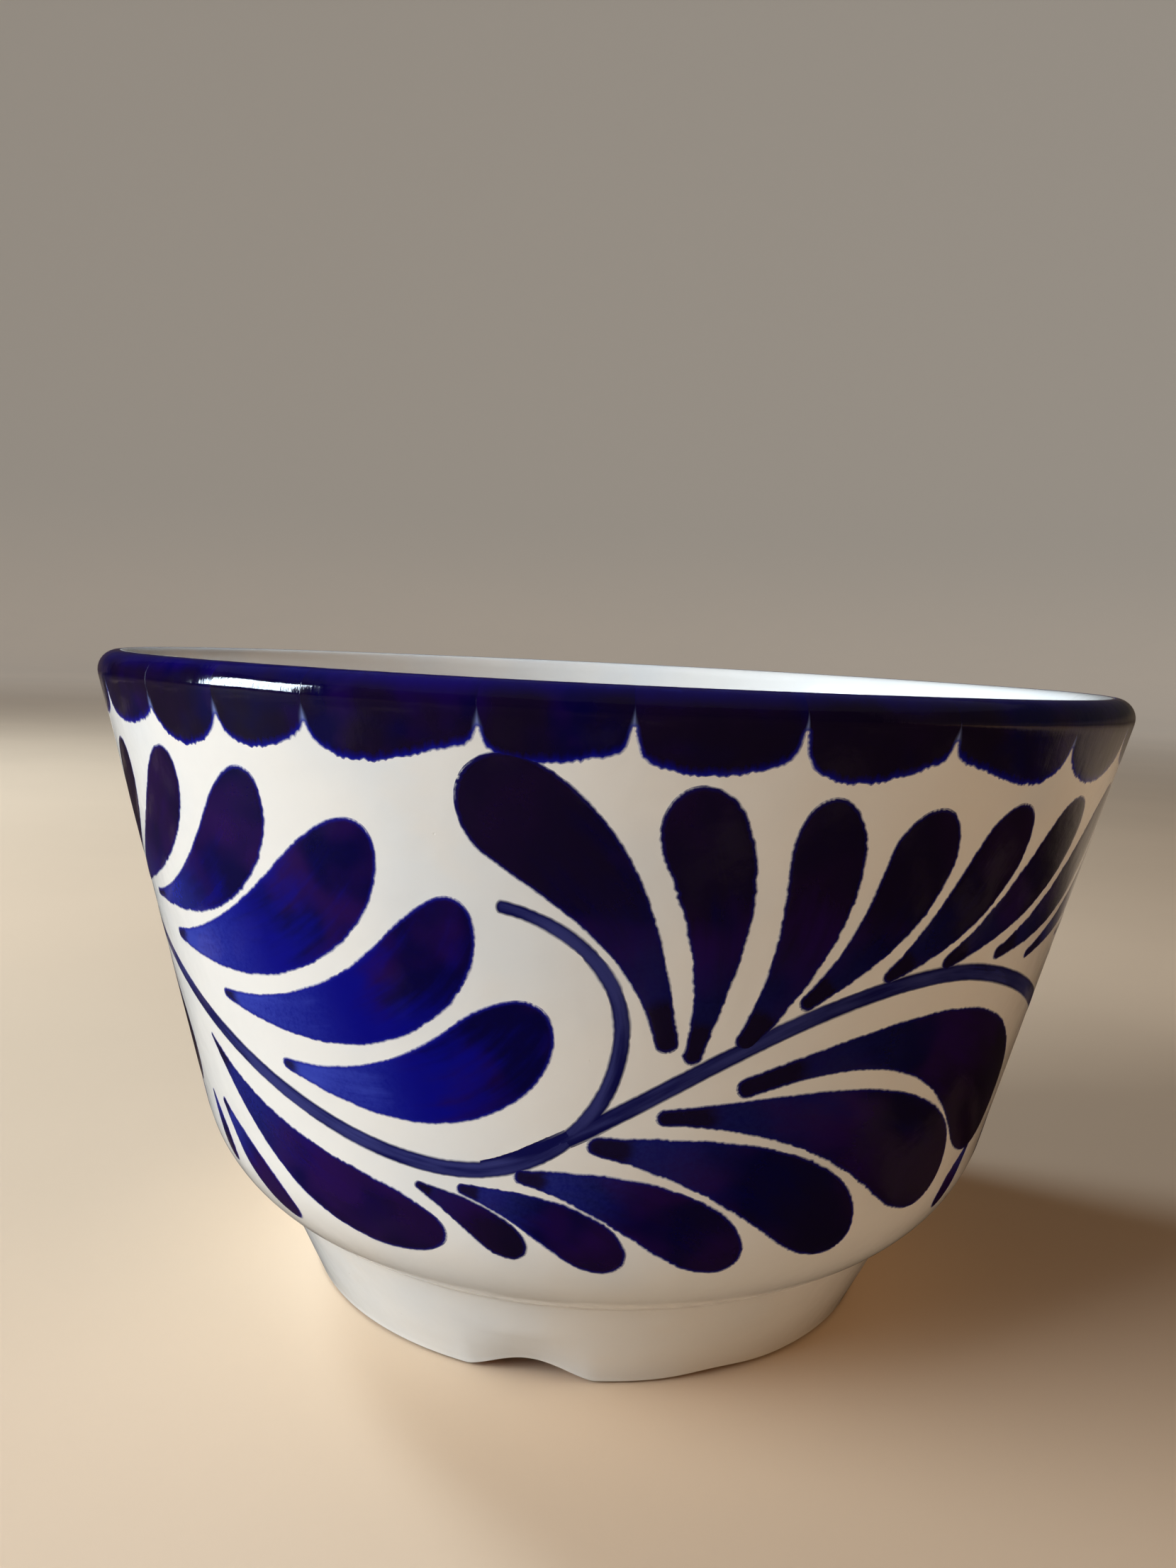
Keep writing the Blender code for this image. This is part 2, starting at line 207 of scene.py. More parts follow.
# Colours, linear.
TIN_WHITE = (0.80, 0.81, 0.80)
TIN_COOL = (0.73, 0.77, 0.80)
TIN_WARM = (0.80, 0.775, 0.73)
SPECK_BROWN = (0.16, 0.10, 0.07)
FRINGE_BLUE = (0.007, 0.009, 0.26)
ULTRAMARINE = (0.0016, 0.0020, 0.20)
WASHED_BLUE = (0.036, 0.058, 0.43)
HEAVY_WASH = (0.0085, 0.0100, 0.075)
HEAVY_BLUE = (0.0018, 0.0017, 0.085)
HEAVY_FRINGE = (0.0045, 0.0045, 0.12)
SEAM_BLUE = (0.24, 0.32, 0.70)
POOLED_NAVY = (0.0014, 0.0008, 0.042)
POOLED_PURPLE = (0.015, 0.0026, 0.066)
DENSE_BLACK = (0.0070, 0.0032, 0.0110)
STEM_WASH = (0.032, 0.038, 0.175)
STEM_NAVY = (0.0045, 0.0050, 0.075)
TERRACOTTA = (0.40, 0.19, 0.105)
TERRACOTTA_PALE = (0.56, 0.33, 0.21)
TERRACOTTA_DARK = (0.22, 0.10, 0.06)
FLOOR_PALE = (0.67, 0.53, 0.39)
# Painted shade: the floor's colour as the glaze mirrors it, darker than the floor itself.
MIRRORED_FLOOR_PAINTED_SHADE = (0.034, 0.021, 0.016)
# Painted reflection: paler patches in the mirrored floor.
MIRRORED_FLOOR_PAINTED_REFLECTION = (0.15, 0.105, 0.080)
BACKDROP_GREY = (0.27, 0.245, 0.21)
# Painted light: the glow that the far floor and backdrop show to the camera alone.
BACKDROP_PAINTED_GLOW = (0.26, 0.235, 0.205)
COOL_LIGHT = (0.93, 0.97, 1.0)
SKY_LIGHT = (0.74, 0.88, 1.0)
WARM_LIGHT = (1.0, 0.62, 0.34)
AIR_LIGHT = (1.0, 0.90, 0.79)

# How strongly surfaces mirror. Cobalt sinks into the glaze and mirrors less than the bare white.
GLAZE_REFLECTION = 0.5
COBALT_REFLECTION = 0.42
FLOOR_REFLECTION = 0.03
GLAZE_IOR = 1.5
PEEL_DEPTH = 0.10

# The floor: how far it lies flat, the bend up into the backdrop and the backdrop's height.
FLOOR_FLAT_RADIUS = 2600.0
FLOOR_BEND = 900.0
BACKDROP_HEIGHT = 2600.0
FLOOR_CONTRAST = 1.06
FLOOR_COLUMNS = 128
AIR_STRENGTH = 0.08

# Soft lights that nothing mirrors: place, width, height, watts and colour.
WINDOW = ((-1000.0, -420.0, 560.0), 900.0, 800.0, 19.5, COOL_LIGHT)
BACK_WINDOW = ((-760.0, 520.0, 700.0), 200.0, 260.0, 7.0, SKY_LIGHT)
WARM_FILL = ((1100.0, -500.0, 500.0), 900.0, 900.0, 4.0, WARM_LIGHT)
LIGHTS_AIM = (0.0, 0.0, 60.0)

# Upright panes on the left that only the glaze mirrors, by their bearing from +Y towards +X.
PANE_BEARINGS = (-97.0, -104.5, -112.0)
PANE_DISTANCE = 1000.0
PANE_HEIGHT = 330.0
PANE_SIZE = (100.0, 420.0)
PANE_POWER = 6.5

# The camera: where it stands, how it is turned, and its lens on a 36 mm sensor.
CAMERA_PLACE = (0.0, -215.16, 107.83)
CAMERA_YAW = -0.962
CAMERA_DIP = 6.573
CAMERA_ROLL = 2.811
CAMERA_LENS = 27.67
CAMERA_SENSOR = 36.0


# ---- outline of the bowl ----

def on_circle(centre, radius, direction):
    """Points of a section circle, with the direction in degrees up from the horizontal."""
    turn = np.radians(direction)
    return centre[0] + radius * np.cos(turn), centre[1] + radius * np.sin(turn)


def clipped(values):
    """Values kept between 0 and 1."""
    return np.clip(values, 0.0, 1.0)


def arc(centre, radius, start, end, steps):
    """Section points as rows of (radius, height)."""
    return np.stack(on_circle(centre, radius, np.linspace(start, end, steps + 1)), axis=1)


def line(start, end, steps):
    """Section points strictly between two others."""
    share = np.linspace(0.0, 1.0, steps + 1)[1:-1, None]
    return np.asarray(start) * (1.0 - share) + np.asarray(end) * share


def lip_centre_of_frame():
    """Centre of the lip circle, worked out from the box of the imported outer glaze."""
    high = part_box("outer_glaze")[1] / MM
    widest = LIP_RADIUS * math.cos(math.radians(WALL_LEAN))
    top = LIP_RADIUS * math.cos(math.radians(LIP_SPLIT))
    return high.x - widest, high.z - top


LIP_CENTRE = lip_centre_of_frame()
LIP_TANGENT = on_circle(LIP_CENTRE, LIP_RADIUS, -WALL_LEAN)
WALL_SLOPE = math.tan(math.radians(WALL_LEAN))
WALL_END = (LIP_TANGENT[0] - (LIP_TANGENT[1] - BELLY_TOP_HEIGHT) * WALL_SLOPE, BELLY_TOP_HEIGHT)
BELLY_CENTRE = on_circle(WALL_END, -BELLY_RADIUS, -WALL_LEAN)


def lip_arc(inset, start, end, steps):
    return arc(LIP_CENTRE, LIP_RADIUS - inset, start, end, steps)


def belly_arc(inset, start, end, steps):
    return arc(BELLY_CENTRE, BELLY_RADIUS - inset, start, end, steps)


def foot_radius(height, inset):
    """Radius of the foot cone at a height, for a layer set in from its outside."""
    return FOOT_BASE_RADIUS + FOOT_TAPER * height - inset * math.hypot(1.0, FOOT_TAPER)


def crease_direction(belly_inset, foot_inset):
    """Direction from the belly centre to where a belly circle meets the foot cone."""
    across = foot_radius(0.0, foot_inset) - BELLY_CENTRE[0]
    square = 1.0 + FOOT_TAPER ** 2
    half = across * FOOT_TAPER - BELLY_CENTRE[1]
    rest = across ** 2 + BELLY_CENTRE[1] ** 2 - (BELLY_RADIUS - belly_inset) ** 2
    height = (-half - math.sqrt(half ** 2 - square * rest)) / square
    radius = foot_radius(height, foot_inset)
    return math.degrees(math.atan2(height - BELLY_CENTRE[1], radius - BELLY_CENTRE[0]))


def wall_section(height, stand_off):
    """(radius, height) arrays of points that stand off the glaze below the lip's widest point."""
    drop = np.clip((BELLY_CENTRE[1] - height) / BELLY_RADIUS, -1.0, 1.0)
    is_straight = height > BELLY_TOP_HEIGHT
    straight = LIP_TANGENT[0] - (LIP_TANGENT[1] - height) * WALL_SLOPE
    curved = BELLY_CENTRE[0] + BELLY_RADIUS * np.sqrt(1.0 - drop ** 2)
    facing = np.where(is_straight, -math.radians(WALL_LEAN), -np.arcsin(drop))
    radius = np.where(is_straight, straight, curved)
    return radius + stand_off * np.cos(facing), height + stand_off * np.sin(facing)


def wall_scale(height):
    """Millimetres round the wall for one degree."""
    return np.radians(wall_section(height, 0.0)[0])


def waves(count, sizes, seed):
    """Seeded whole-number waves round the bowl, as rows of (turns, rise, phase, share)."""
    draw = np.random.default_rng(seed)
    turns = draw.integers(sizes[0], sizes[1], count)
    rises = draw.uniform(-0.09, 0.09, count)
    phases = draw.uniform(0.0, 2.0 * math.pi, count)
    return list(zip(turns, rises, phases, draw.uniform(0.4, 1.0, count) / count))


WALL_WAVES = waves(9, (2, 12), SEED)
LIP_WAVES = waves(5, (2, 7), SEED + 1)


def unevenness(wave_rows, angle, height):
    turn = np.radians(angle)
    return sum(share * np.sin(n * turn + rise * height + phase) for n, rise, phase, share in wave_rows)


def place(angle, radius, height):
    """Points in metres, with the hand-made unevenness of the wall and of the lip."""
    turn = np.radians(angle)
    risen = clipped((height - UNEVEN_FROM) / UNEVEN_REACH)
    radius = radius + WALL_UNEVENNESS * risen * unevenness(WALL_WAVES, angle, height)
    height = height + LIP_UNEVENNESS * risen ** 4 * unevenness(LIP_WAVES, angle, 0.0)
    points = (radius * np.sin(turn), -radius * np.cos(turn), height + 0.0 * turn)
    return np.stack(np.broadcast_arrays(*points), axis=-1) * MM


def turning_ridges(angle, reach, depth):
    """Spiral ridges left by fingers on the wheel, over a distance along the section."""
    turn = np.radians(angle)
    ridge = np.sin(2.0 * math.pi * reach / TURNING_PITCH + turn)
    fade = 0.6 + 0.4 * np.sin(reach * 0.21 + 2.0 * turn + 1.0)
    return depth * ridge * fade


# ---- mesh helpers ----

def lattice_faces(rows, columns, wraps_rows, wraps_columns):
    """Quads over a rows x columns lattice of vertices."""
    last_row = rows if wraps_rows else rows - 1
    last_column = columns if wraps_columns else columns - 1
    row, column = np.meshgrid(np.arange(last_row), np.arange(last_column), indexing="ij")
    next_row, next_column = (row + 1) % rows, (column + 1) % columns
    corners = (
        row * columns + column, row * columns + next_column,
        next_row * columns + next_column, next_row * columns + column,
    )
    return np.stack(corners, axis=-1).reshape(-1, 4)


def lattice_mesh(name, points, wraps_rows, wraps_columns):
    mesh = bpy.data.meshes.new(name)
    faces = lattice_faces(*points.shape[:2], wraps_rows, wraps_columns)
    mesh.from_pydata(points.reshape(-1, 3).tolist(), [], faces.tolist())
    return mesh


def linked(name, data):
    """Object of a mesh, lamp or camera, linked into the scene."""
    thing = bpy.data.objects.new(name, data)
    bpy.context.scene.collection.objects.link(thing)
    return thing


def lattice_object(name, points, material, wraps_rows, wraps_columns, values=None):
    """Smooth closed mesh from a lattice of points, with named values kept on its vertices."""
    mesh = lattice_mesh(name, points, wraps_rows, wraps_columns)
    for key, value in (values or {}).items():
        kind = "FLOAT_VECTOR" if value.ndim == 3 else "FLOAT"
        layer = mesh.attributes.new(key, kind, "POINT")
        field = "vector" if value.ndim == 3 else "value"
        layer.data.foreach_set(field, np.ascontiguousarray(value, np.float32).ravel())
    shape = bmesh.new()
    shape.from_mesh(mesh)
    bmesh.ops.remove_doubles(shape, verts=shape.verts, dist=1e-7)
    bmesh.ops.recalc_face_normals(shape, faces=shape.faces)
    shape.to_mesh(mesh)
    shape.free()
    mesh.shade_smooth()
    mesh.materials.append(material)
    piece = linked(name, mesh)
    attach(piece, "root")
    return piece


def stacked(*parts):
    return np.concatenate(parts, axis=0)


def as_grid(section, columns):
    """Radius and height lattices from section rows, the same at every angle."""
    radius = np.repeat(section[:, :1], columns, axis=1)
    height = np.repeat(section[:, 1:], columns, axis=1)
    return radius, height


def spin_angles(columns):
    return np.arange(columns) * FULL_TURN / columns


# ---- clay and glaze ----

def angle_from(angle, other):
    """Signed angle between two directions, within half a turn."""
    return (angle - other + FULL_TURN / 2.0) % FULL_TURN - FULL_TURN / 2.0


def foot_lift(angle):
    """Height of the foot's standing edge: notches, and the dip after each one."""
    lift = np.zeros_like(angle)
    for notch in NOTCH_ANGLES:
        across = np.clip(angle_from(angle, notch) / NOTCH_HALF_WIDTH, -1.0, 1.0)
        arch = clipped(np.cos(math.pi / 2.0 * across)) ** NOTCH_SHAPE
        dip = angle_from(angle, notch + DIP_AFTER_NOTCH) / DIP_HALF_WIDTH
        lift = lift + NOTCH_HEIGHT * arch + DIP_HEIGHT * np.exp(-dip ** 2)
    return lift


def lifted(height, angle):
    """Heights near the foot's edge, raised over the notches."""
    share = clipped(1.0 - height / NOTCH_REACH)
    return height + foot_lift(angle) * share


def outer_glaze(material):
    """White glaze over the outer half of the lip, the wall, the belly and the foot."""
    fillet_way = crease_direction(-CREASE_FILLET, -CREASE_FILLET)
    fillet_centre = on_circle(BELLY_CENTRE, BELLY_RADIUS + CREASE_FILLET, fillet_way)
    cone_way = 180.0 - math.degrees(math.atan(FOOT_TAPER))
    split = 90.0 - LIP_SPLIT
    belly = belly_arc(0.0, -WALL_LEAN, fillet_way, 34)
    fillet = arc(fillet_centre, CREASE_FILLET, fillet_way + 180.0, cone_way, 8)[1:]
    bead = GLAZE / 2.0
    edge_centre = (foot_radius(GLAZE_STOP, bead), GLAZE_STOP)
    edge = arc(edge_centre, bead, 0.0, -180.0, 6)
    wall_steps = round((LIP_TANGENT[1] - BELLY_TOP_HEIGHT) / ROW_HEIGHT)
    face = stacked(
        lip_arc(0.0, split, -WALL_LEAN, 22),
        line(LIP_TANGENT, WALL_END, wall_steps),
        belly,
        fillet,
        line(fillet[-1], edge[0], 14),
        edge,
    )
    back = stacked(
        belly_arc(GLAZE, crease_direction(GLAZE, GLAZE), -WALL_LEAN, 10),
        lip_arc(GLAZE, -WALL_LEAN, split, 8),
    )
    angle = spin_angles(OUTER_COLUMNS)
    radius, height = as_grid(stacked(face, back), OUTER_COLUMNS)
    height = lifted(height, angle)
    rows = len(face)
    drop = LIP_CENTRE[1] - height[:rows]
    radius[:rows] += turning_ridges(angle, drop, TURNING_DEPTH_OUTSIDE)
    points = place(angle, radius, height)
    piece = lattice_object("outer_glaze_skin", points, material, True, True)
    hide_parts("outer_glaze")


def inner_glaze(material):
    """White glaze over the floor, the inside of the wall and the inner half of the lip."""
    split = 90.0 + LIP_SPLIT
    floor_height = BELLY_CENTRE[1] - BELLY_RADIUS + WALL_THICKNESS
    inside_end = on_circle(BELLY_CENTRE, BELLY_RADIUS - WALL_THICKNESS, -WALL_LEAN)
    lip_start = on_circle(LIP_CENTRE, LIP_RADIUS, 180.0 - WALL_LEAN)
    face = stacked(
        np.array([(0.0, floor_height)]),
        line((0.0, floor_height), (BELLY_CENTRE[0], floor_height), 40),
        belly_arc(WALL_THICKNESS, -90.0, -WALL_LEAN, 24),
        line(inside_end, lip_start, 46),
        lip_arc(0.0, 180.0 - WALL_LEAN, split, 12),
    )
    back = stacked(
        lip_arc(GLAZE, split, 180.0 - WALL_LEAN, 6),
        belly_arc(WALL_THICKNESS - GLAZE, -WALL_LEAN, -90.0, 8),
        np.array([(0.0, floor_height - GLAZE)]),
    )
    angle = spin_angles(INNER_COLUMNS)
    radius, height = as_grid(stacked(face, back), INNER_COLUMNS)
    rows = len(face)
    lengths = np.hypot(*np.diff(face, axis=0).T)
    reach = np.concatenate(([0.0], np.cumsum(lengths)))
    fade = clipped((reach[-1] - reach) / TURNING_FADE_OUT)
    fade *= clipped(reach / TURNING_FADE_IN)
    ridges = turning_ridges(angle, reach[:, None], TURNING_DEPTH_INSIDE) * fade[:, None]
    past_floor = (face[:, :1] - BELLY_CENTRE[0]) / FLOOR_TURN_WIDTH
    on_floor = clipped(1.0 - past_floor)
    height[:rows] += ridges * on_floor
    radius[:rows] -= ridges * (1.0 - on_floor)
    points = place(angle, radius, height)
    piece = lattice_object("inner_glaze_skin", points, material, False, True)
    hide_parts("inner_glaze")


def clay_body(material):
    """The thrown bowl without its foot, with a spiral left by trimming under its floor."""
    wall = WALL_THICKNESS - CLAY
    inside = belly_arc(wall, -90.0, -WALL_LEAN, 10)
    outside = belly_arc(CLAY, -WALL_LEAN, -90.0, 12)
    under = outside[-1]
    under_steps = 44
    section = stacked(
        np.array([(0.0, inside[0][1])]),
        inside,
        lip_arc(CLAY, 180.0 - WALL_LEAN, -WALL_LEAN, 16),
        outside,
        line(under, (0.0, under[1]), under_steps),
        np.array([(0.0, under[1])]),
    )
    angle = spin_angles(INNER_COLUMNS)
    radius, height = as_grid(section, INNER_COLUMNS)
    trimmed = turning_ridges(angle, radius[-under_steps:], TURNING_DEPTH_CLAY)
    height[-under_steps:] += trimmed * clipped(radius[-under_steps:] / TRIMMING_FADE_IN)
    points = place(angle, radius, height)
    piece = lattice_object("thrown_body", points, material, False, True)
    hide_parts("clay_body")


def foot_ring(material):
    """The ring luted under the belly, whose standing face is bare clay."""
    crease = crease_direction(CLAY - GAP, CLAY)
    top = belly_arc(CLAY - GAP, -90.0, crease, 8)
    outer_edge = (foot_radius(0.0, CLAY) - FOOT_EDGE, FOOT_EDGE)
    inner_edge = (FOOT_INNER_RADIUS + FOOT_EDGE, FOOT_EDGE)
    outer_corner = arc(outer_edge, FOOT_EDGE, 0.0, -90.0, 6)
    inner_corner = arc(inner_edge, FOOT_EDGE, -90.0, -180.0, 6)
    section = stacked(
        top,
        line(top[-1], outer_corner[0], 10),
        outer_corner,
        line(outer_corner[-1], inner_corner[0], 5),
        inner_corner,
        line(inner_corner[-1], top[0], 10),
    )
    angle = spin_angles(OUTER_COLUMNS)
    radius, height = as_grid(section, OUTER_COLUMNS)
    points = place(angle, radius, lifted(height, angle))
    piece = lattice_object("turned_foot", points, material, True, True)
    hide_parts("foot_ring")


# ---- paint ----

def ragged(reach, amount, seed, wave_rows=RAGGED_WAVES):
    """Small seeded waves along a painted edge."""
    draw = np.random.default_rng(seed)
    total = np.zeros_like(reach)
    for length, height in wave_rows:
        stretch = draw.uniform(0.85, 1.15)
        phase = draw.uniform(0.0, 2.0 * math.pi)
        swing = 0.6 + 0.4 * np.sin(reach * 0.9 / length + phase * 3.0)
        total = total + height * swing * np.sin(2.0 * math.pi * reach / length * stretch + phase)
    return amount * total


def paint_level(edge, layer):
    """How far the paint's face stands off the glaze, from the distance to its edge."""
    return PAINT_EDGE + (PAINT_RISE + layer) * (1.0 - np.exp(-edge / PAINT_RISE_LENGTH))


def distance_to(outline, points):
    """Distance from each developed point to the nearest point of an outline."""
    flat = points.reshape(-1, 2)
    gaps = flat[:, None, :] - outline
    return np.sqrt((gaps ** 2).sum(axis=2).min(axis=1)).reshape(points.shape[:-1])


def mixed_points(first, second, share):
    return first + (second - first) * share


def bezier(knots, share):
    """Points and headings on a Bezier curve through any number of (angle, height) knots."""
    share = share[:, None]
    points = [np.asarray(knot, float) + 0.0 * share for knot in knots]
    while len(points) > 2:
        points = [mixed_points(a, b, share) for a, b in zip(points, points[1:])]
    return mixed_points(points[0], points[1], share), points[1] - points[0]


def run_along(spine):
    """Distance along a spine of (angle, height) rows, in millimetres on the wall."""
    scale = wall_scale(spine[:, 1])
    steps = np.diff(spine, axis=0) * np.stack((scale[1:], np.ones(len(scale) - 1)), axis=1)
    return np.concatenate(([0.0], np.cumsum(np.hypot(steps[:, 0], steps[:, 1]))))


def brush_stroke(name, spine, heading, half_width, across_count, turn, layer, raggedness,
                 load, seed, material):
    """A stroke on the wall from its spine, as rows of (angle, height), and its half width."""
    scale = wall_scale(spine[:, 1])
    reach = run_along(spine)
    length = np.hypot(heading[:, 0] * scale, heading[:, 1])
    tangent = np.stack((heading[:, 0] * scale, heading[:, 1]), axis=1) / length[:, None]
    across = np.sin(math.pi / 2.0 * np.linspace(-1.0, 1.0, across_count))
    sides = []
    draw = np.random.default_rng(seed)
    for number in range(2):
        wobble = ragged(reach, raggedness * draw.uniform(0.5, 1.5), seed + number)
        spread = (wobble + BRUSH_SPREAD / 2.0) * clipped(half_width)
        sides.append(np.clip(half_width + spread, 0.0, None))
    width = np.where(across < 0.0, sides[0][:, None], sides[1][:, None])
    shift = width * across
    angle = spine[:, :1] - shift * tangent[:, 1:] / scale[:, None]
    height = spine[:, 1:] + shift * tangent[:, :1]

    middle_scale = scale.mean()
    developed = np.stack((angle * middle_scale, height), axis=-1)
    outline = np.concatenate((developed[:, 0], developed[:, -1]))
    edge = distance_to(outline, developed)

    face = wall_section(height, paint_level(edge, layer))
    back = wall_section(height, PAINT_BACK)
    loop_angle = np.concatenate((angle, angle[:, ::-1]), axis=1) + turn
    loop_radius = np.concatenate((face[0], back[0][:, ::-1]), axis=1)
    loop_height = np.concatenate((face[1], back[1][:, ::-1]), axis=1)
    points = place(loop_angle, loop_radius, loop_height)

    along = np.repeat((reach / reach[-1])[:, None], across_count, axis=1)
    brush = np.stack((np.repeat(reach[:, None], across_count, axis=1), shift,
                      np.full_like(shift, seed % 97)), axis=-1)
    values = {"edge_mm": edge, "along": along, "brush": brush, "load": np.full_like(shift, load)}
    values = {key: np.concatenate((v, v[:, ::-1]), axis=1) for key, v in values.items()}
    return lattice_object(name, points, material, False, True, values)


def crowded_ends(length, row_length, end_length):
    """Shares of a stroke's length: even rows, and closer ones over each round end."""
    end = end_length / length
    close = end * (1.0 - np.cos(np.linspace(0.0, math.pi / 2.0, END_ROWS)))
    middle = np.linspace(end, 1.0 - end, round(length / row_length))[1:-1]
    return np.concatenate((close, middle, 1.0 - close[::-1]))


def leaf_half_width(share, width, widest, root_width, length):
    """Half width of a leaf: a small round root, a long swell and a round head."""
    power = LEAF_SWELL + LATE_SWELL * (widest - LATE_FROM)
    swell = np.sin(math.pi / 2.0 * clipped(share / widest)) ** power
    body = root_width + (1.0 - root_width) * swell
    head = np.sqrt(clipped(1.0 - (np.clip(share - widest, 0.0, None) / (1.0 - widest)) ** 2))
    root_reach = root_width * width / 2.0 / length
    root = np.sqrt(1.0 - (1.0 - clipped(share / root_reach)) ** 2)
    return width / 2.0 * np.where(share > widest, head, body) * root


def leaf(name, shape, turn, variation, seed, material):
    root, bend, head, width, widest, root_width, load = shape
    draw = np.random.default_rng(seed)
    moved = [np.array(knot) + variation * draw.uniform(-1.0, 1.0, 2) * LEAF_SHIFT
             for knot in (root, bend, head)]
    scale = wall_scale(np.array([root[1]]))[0]
    length = sum(np.hypot((b[0] - a[0]) * scale, b[1] - a[1]) for a, b in zip(moved, moved[1:]))
    share = crowded_ends(length, STROKE_ROW, width * HEAD_REACH)
    spine, heading = bezier(moved, share)
    half_width = leaf_half_width(share, width, widest, root_width, length)
    return brush_stroke(name, spine, heading, half_width, STROKE_COLUMNS, turn, LEAF_LAYER, 1.0,
                        load, seed, material)


def stem(name, turn, seed, material):
    share = crowded_ends(STEM_LENGTH, STROKE_ROW, STEM_TIP_WIDTH / 2.0)
    reach = share * len(STEM_CURVES)
    parts = []
    for number, curve in enumerate(STEM_CURVES):
        is_last = number == len(STEM_CURVES) - 1
        own = (reach >= number) & ((reach < number + 1) | is_last)
        parts.append(bezier(curve, reach[own] - number))
    spine = np.concatenate([part[0] for part in parts])
    heading = np.concatenate([part[1] for part in parts])
    past = clipped((share - STEM_TAPER_FROM) / (1.0 - STEM_TAPER_FROM))
    width = STEM_WIDTH + (STEM_TIP_WIDTH - STEM_WIDTH) * past
    run = run_along(spine)
    width *= 1.0 - STEM_START_THINNING * (1.0 - clipped(run / STEM_MERGE_LENGTH)) ** 2
    end = clipped(np.minimum(run, run[-1] - run) / (STEM_TIP_WIDTH / 2.0))
    half_width = width / 2.0 * np.sqrt(1.0 - (1.0 - end) ** 2)
    return brush_stroke(name, spine, heading, half_width, STEM_COLUMNS, turn, STEM_LAYER,
                        STEM_RAGGEDNESS, 0.0, seed, material)


def vine(leaf_paint, stem_paint):
    """Every stroke of the three repeats, each hiding the CAD node that it stands for, where it has one."""
    seed = STROKE_SEED
    families = (("upper_leaf", UPPER_LEAVES, True), ("lower_leaf", LOWER_LEAVES, True),
                ("slim_leaf", SLIM_LEAVES, False))
    for side, turn, variation in REPEATS:
        piece = stem(f"stem_stroke_{side}", turn, seed, stem_paint)
        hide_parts(f"vine_stem_{side}")
        for family, shapes, has_node in families:
            for number, shape in enumerate(shapes, start=1):
                seed += 10
                name = f"{family}_stroke_{number:02d}_{side}"
                piece = leaf(name, shape, turn, variation, seed, leaf_paint)
                if has_node:
                    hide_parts(f"{family}_{number:02d}_{side}")


def dabs():
    """Rows of (start angle, width, lowest height, lean, rise of the point at its start)."""
    draw = np.random.default_rng(SEED + 5)
    front_width = sum(row[0] for row in FRONT_DABS)
    back_width = (FULL_TURN - front_width) / BACK_DAB_COUNT
    nudges = draw.uniform(-1.0, 1.0, BACK_DAB_COUNT) * BACK_DAB_VARIATION
    nudges -= nudges.mean()
    back = [(back_width + nudge, BACK_DAB_LOW - nudge * 0.5, *draw.uniform((-0.3, 1.2), (0.3, 2.8)))
            for nudge in nudges]
    start = FIRST_DAB_ANGLE
    rows = []
    for row in list(FRONT_DABS) + back:
        rows.append((start, *row))
        start += row[0]
    return rows


def scalloped_edge(round_scale):
    """Angle and height along the lower edge of the band, distance to a seam, and dab number."""
    even = np.arange(DAB_COLUMNS) / DAB_COLUMNS
    share = (even + (1.0 - np.cos(math.pi * even)) / 2.0) / 2.0
    across = 2.0 * share - 1.0
    rows = dabs()
    parts = []
    for number, (start, width, low, lean, rise) in enumerate(rows):
        next_rise = rows[(number + 1) % len(rows)][-1]
        lobe = np.abs(across - lean * (1.0 - across ** 2)) ** DAB_ROUNDNESS
        from_start = share * width * round_scale
        to_end = (1.0 - share) * width * round_scale
        points = rise * np.exp(-from_start / CUSP_WIDTH) + next_rise * np.exp(-to_end / CUSP_WIDTH)
        height = low + (DAB_MEETING_HEIGHT - low) * lobe + points
        seam = np.minimum(from_start, to_end)
        parts.append((start + width * share, height, seam, np.full(DAB_COLUMNS, float(number))))
    return [np.concatenate(part) for part in zip(*parts)]


def band_edge_distance(points, outline):
    """Distance of each lattice point to the nearby part of the scalloped edge."""
    best = np.full(points.shape[:2], 1e9)
    circumference = FULL_TURN * wall_scale(np.array([DAB_MEETING_HEIGHT]))[0]
    for shift in range(-BAND_NEIGHBOURS, BAND_NEIGHBOURS + 1):
        other = np.roll(outline, -shift, axis=0)
        across = points[..., 0] - other[:, 0]
        across = (across + circumference / 2.0) % circumference - circumference / 2.0
        best = np.minimum(best, np.hypot(across, points[..., 1] - other[:, 1]))
    return best


